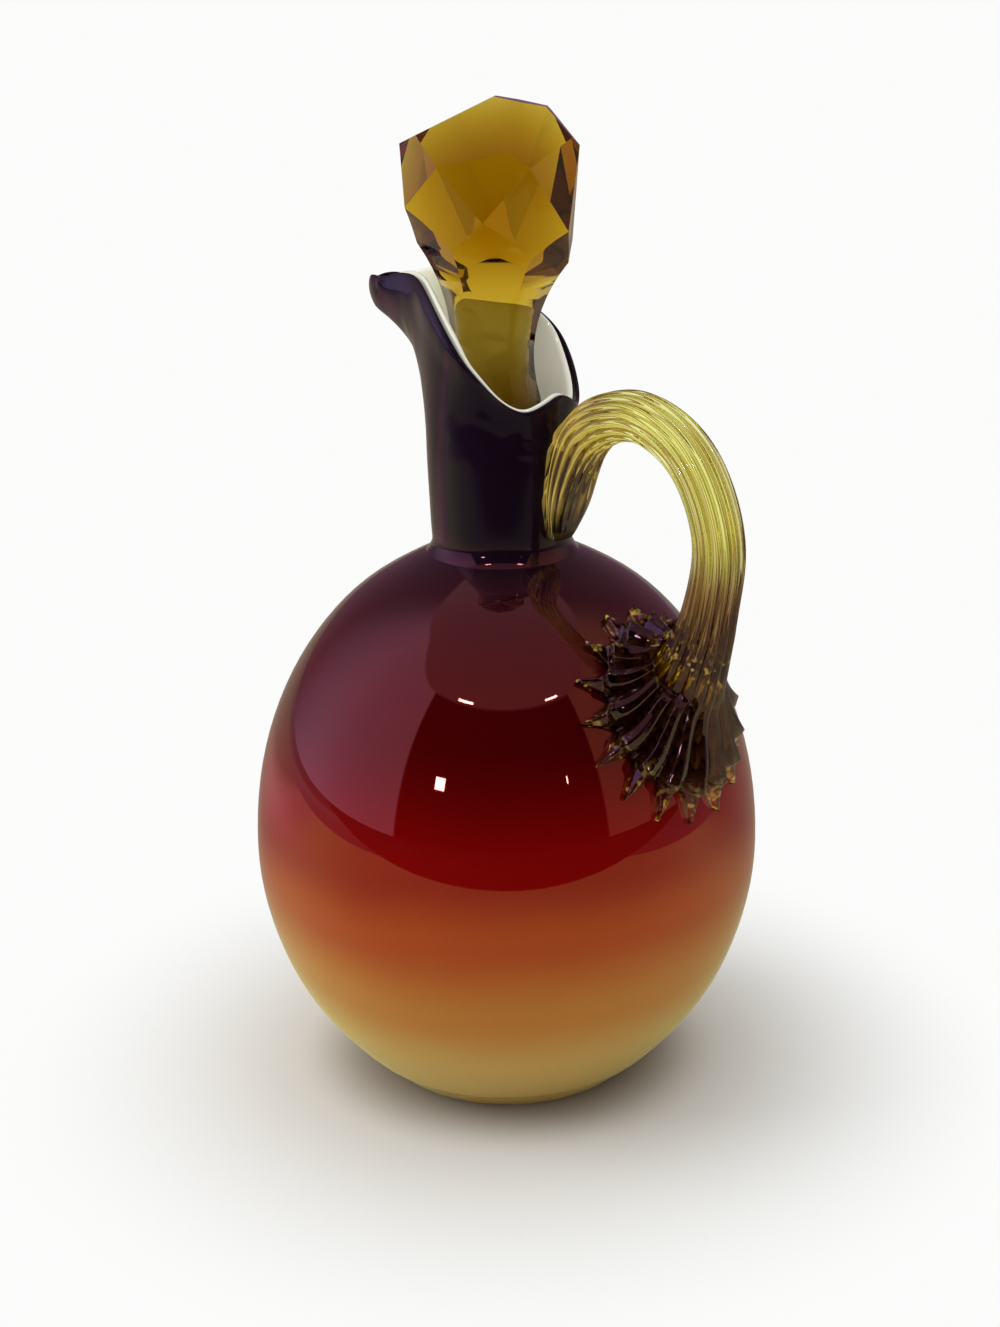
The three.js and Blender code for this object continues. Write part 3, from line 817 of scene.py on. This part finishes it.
    def make_soft_box(self, scene, look):
        data = bpy.data.lights.new("soft_box", "AREA")
        data.shape = "RECTANGLE"
        data.size, data.size_y = self.BOX_SIZE
        data.energy = look.box_light
        box = bpy.data.objects.new("soft_box", data)
        scene.collection.objects.link(box)
        place = Matrix.Rotation(self.TURN, 4, "Z") @ Vector(self.BOX_PLACE)
        aim = (Vector(self.BOX_AIM) - place).to_track_quat("-Z", "Y").to_matrix().to_4x4()
        box.matrix_world = Matrix.Translation(place) @ aim
        box.visible_glossy = False
        box.visible_transmission = False

    def make_room(self, scene, look):
        """White to the camera, even to matt surfaces, and a room with a dark front to glass."""
        scene.world = bpy.data.worlds.new("room")
        scene.world.use_nodes = True
        tree = scene.world.node_tree
        tree.nodes.clear()
        way = tree.nodes.new("ShaderNodeTexCoord").outputs["Generated"]
        right, back, up = self.turned_parts(tree, way)
        ray = tree.nodes.new("ShaderNodeLightPath")
        sky = mix_colours(tree, up, (look.low_light,) * 3, (look.high_light,) * 3)
        shown = mix_colours(
            tree, ray.outputs["Is Glossy Ray"], sky,
            self.room_in_glass(tree, look, right, back, up))
        shown = mix_colours(
            tree, ray.outputs["Is Transmission Ray"], shown,
            self.room_through_glass(tree, look, right, back))
        shown = mix_colours(tree, ray.outputs["Is Camera Ray"], shown, look.paper_colour)
        background = add_node(tree, "ShaderNodeBackground", Color=shown, Strength=1.0)
        output = tree.nodes.new("ShaderNodeOutputWorld")
        tree.links.new(background.outputs["Background"], output.inputs["Surface"])

    def room_in_glass(self, tree, look, right, back, up):
        """The room as the glass mirrors it: walls, window, ceiling and small lights."""
        azimuth = calculate(tree, "ARCTAN2", right, multiply(tree, back, -1.0))
        side = calculate(tree, "ABSOLUTE", azimuth)
        rise = calculate(tree, "ARCSINE", up)
        edge = self.SOFT_EDGE
        cornice = slide(
            tree, blend_between(tree, side, *self.CORNICE_TURN), self.CORNICE,
            self.CORNICE_BACK)
        above = calculate(tree, "SUBTRACT", rise, cornice)
        on_window = band(
            tree, azimuth, *self.WINDOW_FADE, self.WINDOW_EDGE - edge, self.WINDOW_EDGE + edge)
        on_wall = band(
            tree, azimuth, self.WALL_EDGE - edge, self.WALL_EDGE + edge, *self.WALL_FADE)
        in_front = band(
            tree, azimuth, self.WINDOW_EDGE - edge, self.WINDOW_EDGE + edge,
            self.WALL_EDGE - edge, self.WALL_EDGE + edge)
        window = tuple(look.window_strength * part for part in look.window)
        room = mix_colours(tree, on_window, look.far_wall, window)
        room = mix_colours(tree, on_wall, room, look.right_wall)
        room = mix_colours(tree, in_front, room, look.near_wall)
        room = mix_colours(tree, blend_between(tree, above, -edge, edge), room, look.ceiling)
        for spot in self.SPOTS:
            turn, lift, wide, high = (math.radians(degrees) for degrees in spot)
            beside = calculate(tree, "ABSOLUTE", calculate(tree, "SUBTRACT", azimuth, turn))
            over = calculate(tree, "ABSOLUTE", calculate(tree, "SUBTRACT", rise, lift))
            lit = multiply(
                tree, blend_between(tree, beside, wide, self.SPOT_CORE * wide),
                blend_between(tree, over, high, self.SPOT_CORE * high))
            room = mix_colours(tree, lit, room, (look.spot_light,) * 3)
        return room

    def room_through_glass(self, tree, look, right, back):
        """The room as it shows through clear glass: lighter behind, and dimmer on the left."""
        clear = slide(
            tree, blend_between(tree, back, *self.CLEAR_BACK), look.clear_front,
            look.clear_light)
        clear = calculate(tree, "SUBTRACT", clear, multiply(
            tree, look.clear_left, blend_between(tree, right, *self.CLEAR_LEFT)))
        node = add_node(tree, "ShaderNodeCombineColor", Red=clear, Green=clear, Blue=clear)
        return node.outputs["Color"]


class CRUET_OT_casing(bpy.types.Operator):
    """Smooths the casing from its foot to its drawn lip and gives it its heat-shaded glass"""
    bl_idname = "cruet.casing"
    bl_label = "Casing"

    CORNER = math.radians(50.0)
    FOOT_TOP = 0.0042
    LEVEL = 0.00001
    BEAK_CUTS = 2
    SMOOTHINGS = 10
    SMOOTHING_SHARE = 0.5

    def execute(self, context):
        look = settings().casing

        def sharpness(edge):
            low, high = sorted(vert.co.z for vert in edge.verts)
            on_ring = low < self.FOOT_TOP and high - low < self.LEVEL
            return look.foot_crease if on_ring else 0.0

        mesh = mesh_of_part("outer_casing")
        join_into_quads(mesh)
        crease_edges(mesh, sharpness)
        rim = self.shape_lip(mesh, look)
        rim |= corner_points(mesh, self.CORNER)
        casing = piece_from(mesh, "glossy_casing", casing_glass())
        smooth_through(casing, rim)
        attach(casing, "vessel")
        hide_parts("outer_casing")
        return {"FINISHED"}

    def shape_lip(self, mesh, look):
        """Thins the casing's rim round the lining, and rounds the beak's end to a lobe. Returns
        the indices of the rim's points."""
        lining = surface_of(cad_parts["opal_lining"])
        tip = beak_tip(mesh)
        close = [edge for edge in mesh.edges
                 if all((vert.co - tip).length < look.beak_reach for vert in edge.verts)]
        bmesh.ops.subdivide_edges(mesh, edges=close, cuts=self.BEAK_CUTS, use_grid_fill=True)
        mesh.normal_update()
        lip = [vert for vert in mesh.verts if vert.co.z > LIP_HEIGHT]
        nearest = {vert: lining.find_nearest(vert.co)[0] for vert in lip}
        outer = {vert for vert in lip if vert.normal.dot(vert.co - nearest[vert]) > 0.0}
        rim = set()
        for face in mesh.faces:
            shared = outer.intersection(face.verts)
            if shared and nearest.keys() >= set(face.verts) and len(shared) < len(face.verts):
                rim.update(face.verts)
        for vert in lip:
            from_tip = (vert.co - tip).length
            near = ease(1.0 - from_tip / look.lobe_reach)
            if vert in rim:
                vert.co.z += look.lobe_rise * near
            if vert not in outer:
                continue
            far_thinning = look.far_thinning * clamp(vert.co.x / look.far_reach)
            inwards = (nearest[vert] - vert.co).normalized()
            if vert in rim:
                vert.co.x += look.lobe_round * near
                vert.co.z -= look.rim_drop * (1.0 - near)
                vert.co += inwards * max(far_thinning, look.rim_thinning * (1.0 - near))
            else:
                growth = look.lobe_growth * ease(1.0 - from_tip / look.keel_reach)
                vert.co += vert.normal * growth + inwards * far_thinning
        lobe = [vert for vert in lip
                if vert in outer | rim and (vert.co - tip).length < look.lobe_reach]
        for _ in range(self.SMOOTHINGS):
            bmesh.ops.smooth_vert(
                mesh, verts=lobe, factor=self.SMOOTHING_SHARE, use_axis_x=True,
                use_axis_y=True, use_axis_z=True)
        mesh.verts.index_update()
        return {vert.index for vert in rim}


class CRUET_OT_lining(bpy.types.Operator):
    """Smooths the opal lining inside the casing, and draws it back from the beak's end"""
    bl_idname = "cruet.lining"
    bl_label = "Lining"

    CORNER = math.radians(50.0)
    BACK = (0.86, 0.0, -0.51)

    def execute(self, context):
        look = settings().lining
        mesh = mesh_of_part("opal_lining")
        join_into_quads(mesh)
        rim = corner_points(mesh, self.CORNER)
        tip = beak_tip(mesh)
        for index in rim:
            vert = mesh.verts[index]
            near = clamp(1.0 - (vert.co - tip).length / look.beak_reach)
            vert.co += Vector(self.BACK) * look.beak_drop * near
        lining = piece_from(mesh, "cream_lining", lining_glass())
        smooth_through(lining, rim)
        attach(lining, "vessel")
        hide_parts("opal_lining")
        return {"FINISHED"}


class CRUET_OT_handle(bpy.types.Operator):
    """Rounds the handle's reeds, its seal and the ribs and points of its shell foot"""
    bl_idname = "cruet.handle"
    bl_label = "Handle"

    def execute(self, context):
        look = settings().handle
        middle = Vector(SHELL_MIDDLE)

        def on_shell(vert):
            return (vert.co - middle).length <= look.crease_reach

        def sharpness(edge):
            if not on_shell(edge.verts[0]):
                return 0.0
            span = look.crease_to - look.crease_from
            return clamp((edge.calc_face_angle() - look.crease_from) / span)

        mesh = mesh_of_part("reeded_handle")
        belly = surface_of(bpy.data.objects["glossy_casing"])
        self.spread_points(mesh, belly, middle, look)
        melt_onto(mesh, belly, look.melt_reach, look.melt_depth)
        join_into_quads(mesh)
        crease_edges(mesh, sharpness)
        measure_grooves(mesh)
        mesh.verts.index_update()
        rod = {vert.index for vert in mesh.verts if not on_shell(vert)}
        handle = piece_from(mesh, "amber_handle", handle_glass())
        smooth_through(handle, rod)
        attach(handle, "vessel")
        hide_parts("reeded_handle")
        return {"FINISHED"}

    def spread_points(self, mesh, belly, middle, look):
        """Widens and lengthens the points round the shell foot, and arches them off the belly."""
        mesh.normal_update()
        span = look.points_to - look.points_from
        for vert in mesh.verts:
            out = vert.co - middle
            _, _, _, gap = belly.find_nearest(vert.co)
            in_ring = look.points_from < out.length < look.points_past
            if not in_ring or gap > look.points_height:
                continue
            along = min((out.length - look.points_from) / span, 1.0)
            width = look.points_growth * math.sin(math.pi * math.sqrt(along))
            vert.co += out.normalized() * (width + look.points_length * along * along)
            place, normal, _, _ = belly.find_nearest(vert.co)
            under = vert.normal.dot(normal) < 0.0
            rise = 0.0 if under else look.points_lift * math.sin(math.pi * along)
            vert.co = place + normal * (gap + rise)


class CRUET_OT_stopper(bpy.types.Operator):
    """Wears the edges of the stopper's facets and polishes its wheel-cut hollows"""
    bl_idname = "cruet.stopper"
    bl_label = "Stopper"

    FLAT = math.radians(0.5)
    FACET = math.radians(11.0)
    SHANK_BOTTOM = 0.1139
    SHANK_TOP = 0.1415
    EDGE_SEGMENTS = 2

    def execute(self, context):
        look = settings().stopper
        mesh = mesh_of_part("faceted_stopper")
        shank = [vert for vert in mesh.verts if self.SHANK_BOTTOM < vert.co.z < self.SHANK_TOP]
        bmesh.ops.remove_doubles(mesh, verts=shank, dist=look.sliver)
        bmesh.ops.dissolve_limit(
            mesh, angle_limit=self.FLAT, verts=mesh.verts[:], edges=mesh.edges[:])
        edges = [edge for edge in mesh.edges
                 if edge.is_manifold and edge.calc_face_angle() > self.FACET
                 and max(vert.co.z for vert in edge.verts) > self.SHANK_TOP]
        bmesh.ops.bevel(
            mesh, geom=edges, offset=look.facet_bevel, offset_type="OFFSET",
            segments=self.EDGE_SEGMENTS, profile=0.5, affect="EDGES", material=-1,
            clamp_overlap=True)
        stopper = piece_from(mesh, "cut_stopper", stopper_glass())
        stopper.data.set_sharp_from_angle(angle=self.FACET)
        for edge in stopper.data.edges:
            if max(stopper.data.vertices[index].co.z for index in edge.vertices) < self.SHANK_TOP:
                edge.use_edge_sharp = False
        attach(stopper, "stopper")
        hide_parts("faceted_stopper")
        return {"FINISHED"}


class CRUET_PT_panel(bpy.types.Panel):
    """Lists the cruet's pieces in the order in which they are made"""
    bl_label = "Cruet"
    bl_idname = "CRUET_PT_panel"
    bl_space_type = "VIEW_3D"
    bl_region_type = "UI"
    bl_category = "Cruet"

    def draw(self, context):
        for operator in OPERATORS:
            self.layout.operator(operator.bl_idname)


OPERATORS = (
    CRUET_OT_stage, CRUET_OT_casing, CRUET_OT_lining, CRUET_OT_handle, CRUET_OT_stopper)
CLASSES = (
    CasingSettings, LiningSettings, HandleSettings, StopperSettings, StageSettings,
    CruetSettings, *OPERATORS, CRUET_PT_panel)


def register():
    for kind in CLASSES:
        bpy.utils.register_class(kind)
    bpy.types.Scene.cruet = PointerProperty(
        type=CruetSettings, name="Cruet", description="Sizes and colours of the cruet")


def unregister():
    del bpy.types.Scene.cruet
    for kind in reversed(CLASSES):
        bpy.utils.unregister_class(kind)


def main():
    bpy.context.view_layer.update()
    register()
    bpy.ops.cruet.stage()
    bpy.ops.cruet.casing()
    bpy.ops.cruet.lining()
    bpy.ops.cruet.handle()
    bpy.ops.cruet.stopper()


if __name__ == "__main__":
    main()
